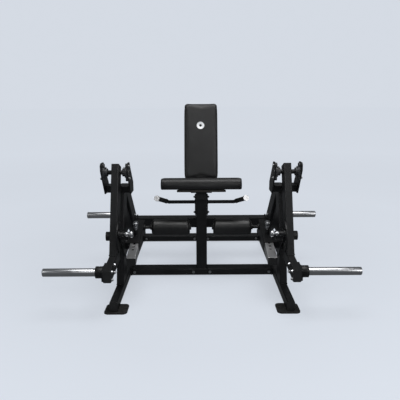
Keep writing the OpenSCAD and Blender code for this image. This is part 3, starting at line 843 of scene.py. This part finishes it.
def make_frame_welds():
    """Beads where the legs, post, column, brace and yoke tubes are welded on."""
    bm = bmesh.new()
    for side, k in SIDES:
        for leg in ("front_leg_", "rear_leg_"):
            weld_bead(bm, leg + side, (0, 0, RAIL_TOP + BEAD_GAP), (0, 0, 1))
        weld_bead(bm, "front_leg_" + side, (0, 0, YOKE_LOW - BEAD_GAP), (0, 0, 1))
        weld_bead(bm, "rear_leg_" + side, (0, YOKE_REAR + BEAD_GAP, 0), (0, 1, 0))
        for x in YOKE_X:
            inward = -BEAD_GAP if x > 0 else BEAD_GAP
            weld_bead(bm, "yoke_tubes", (k * (LEVER_X + x + inward), 0, 0), (1, 0, 0))
        ring_bead(bm, Vector((k * (RAIL_X + TUBE_FACE), *STORE_AT)), COLLAR_R)
        ring_bead(bm, Vector((k * HANDLE_CHEEK_X, *HANDLE_AT)), 0.0127)
    weld_bead(bm, "seat_post", (0, 0, POST_FOOT), (0, 0, 1))
    weld_bead(bm, "back_column", (0, 0, COLUMN_FOOT), (0, 0, 1))
    weld_bead(bm, "rear_brace", (0, BRACE_END, 0), (0, 1, 0))
    bead_object("frame_welds", bm, "frame")


def make_moving_welds():
    """Beads on the levers, brackets, sleeves and roller carriers."""
    for side, k in SIDES:
        bm = bmesh.new()
        weld_bead(bm, "lever_" + side, in_foot(k, 0, 0, BEAD_GAP), FOOT_UP)
        ring_bead(bm, Vector((k * (LEVER_X + TUBE_FACE), *HUB)), 0.0302)
        for x in (-TUBE_FACE, TUBE_FACE):
            ring_bead(bm, Vector((k * (LEVER_X + x), *PIVOT)), 0.0222)
        ring_bead(bm, in_foot(k, 0.0355, *HORN_AT), COLLAR_R + 0.001)
        bead_object("lever_welds_" + side, bm, "lever_" + side)
        bm = bmesh.new()
        bracket_face = k * (BRACKET_X - 0.0085)
        ring_bead(bm, Vector((bracket_face, *HUB)), 0.0332)
        ring_bead(bm, Vector((bracket_face, *PIN_AT)), 0.0152)
        ring_bead(bm, in_arm(k, 0, *LENGTH_PIN), 0.0132, ARM_UP)
        bead_object("bracket_welds_" + side, bm, "roller_arm_" + side)
        bm = bmesh.new()
        ring_bead(bm, Vector((k * (ARM_X - 0.0455), *BAR_AT)), 0.0122)
        ring_bead(bm, Vector((k * (ARM_X - 0.0355), *BAR_AT)), 0.0222)
        bead_object("carrier_welds_" + side, bm, "slide_" + side)


# ---------------------------------------------------------------- small hardware

def set_screw(bm, at, axis, radius):
    """A set screw: chamfered body with a round-bottomed recess."""
    lathe(bm, at, axis, [(-0.006, 0), (-0.006, radius), (-0.0005, radius), (0, radius * 0.86),
                         (0, radius * 0.52), (-0.0028, radius * 0.5), (-0.0032, 0)], 24)


def grease_nipple(bm, at, axis):
    """A grease nipple: collar, waist and the head that the gun grips."""
    lathe(bm, at, axis, [(-0.001, 0), (-0.001, 0.0042), (0.003, 0.0042), (0.0034, 0.0030),
                         (0.006, 0.0024), (0.0066, 0.0033), (0.0085, 0.0033),
                         (0.0102, 0.0018), (0.0102, 0)], 24)


def retaining_ring(bm, at, axis, radius):
    """A chamfered ring that stands 4.5 mm proud of its shaft."""
    lathe(bm, at, axis, [(0, radius - 0.001), (0, radius + 0.0045), (0.0014, radius + 0.0045),
                         (0.0018, radius + 0.0035), (0.0018, radius - 0.001), (0, radius - 0.001)], 40)


def make_hardware():
    """Set screws in the collars, nipples on the bearings and rings on the shafts and roller bars."""
    for side, k in SIDES:
        out = Vector((k, 0, 0))
        bm = bmesh.new()
        screw = in_foot(k, 0.057, HORN_AT[0], HORN_AT[1] + COLLAR_R - 0.001)
        set_screw(bm, screw, FOOT_UP, 0.0037)
        for x, away in ((YOKE_X[1] + YOKE_PLATE, out), (YOKE_X[0] - YOKE_PLATE, -out)):
            retaining_ring(bm, Vector((k * (LEVER_X + x), *PIVOT)), away, SHAFT_R)
        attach(new_object("lever_hardware_" + side, bm, SLOTS["zinc_bolt"]), "lever_" + side)
        bm = bmesh.new()
        for x in (YOKE_X[0] + 0.024, YOKE_X[1] - 0.024):
            grease_nipple(bm, Vector((k * (LEVER_X + x), PIVOT[0], PIVOT[1] + 0.027)), UP)
        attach(new_object("grease_nipples_" + side, bm, SLOTS["zinc_bolt"]), "frame")
        bm = bmesh.new()
        for x in RING_X:
            retaining_ring(bm, Vector((k * x, *BAR_AT)), out, BAR_R)
        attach(new_object("roller_rings_" + side, bm, SLOTS["zinc_bolt"]), "slide_" + side)


def make_bore_shade_sheets():
    """Near-black sheets inside each sliding tube, painted shade for its shaded inside as seen through
    its row of holes.
    """
    # painted shade: a near-black sheet lining the inside of the tube
    half_w, half_h = 0.0265, 0.0235
    for side, k in SIDES:
        bm = bmesh.new()
        near, far = ([bm.verts.new(in_arm(k, x * half_w, y, z * half_h))
                      for x, z in ((-1, -1), (1, -1), (1, 1), (-1, 1))] for y in BORE_ENDS)
        for i in range(4):
            j = (i + 1) % 4
            bm.faces.new((near[i], near[j], far[j], far[i]))
        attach(new_object("bore_shade_sheet_" + side, bm, BORE_PAINTED_SHADE, smooth=False), "slide_" + side)


def make_grip_ribs():
    """Shallow moulded ribs round both ends of each handle grip."""
    for side, k in SIDES:
        start = Vector((k * GRIP_START[0], *GRIP_START[1:]))
        run = Vector((k * GRIP_END[0], *GRIP_END[1:])) - start
        bm = bmesh.new()
        for t in (0.235, 0.26, 0.285, 0.92, 0.945, 0.97):
            ring_bead(bm, start + run * t, 0.0158, run, 0.0014)
        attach(new_object("grip_ribs_" + side, bm, SLOTS["grip_rubber"]), "frame")


make_backdrop()
make_lights()
make_camera()
finish_cad_nodes()
make_seat_cushion()
make_back_cushion()
for side_name, sign in SIDES:
    make_foam_roller(side_name, sign)
make_frame_welds()
make_moving_welds()
make_hardware()
make_bore_shade_sheets()
make_grip_ribs()
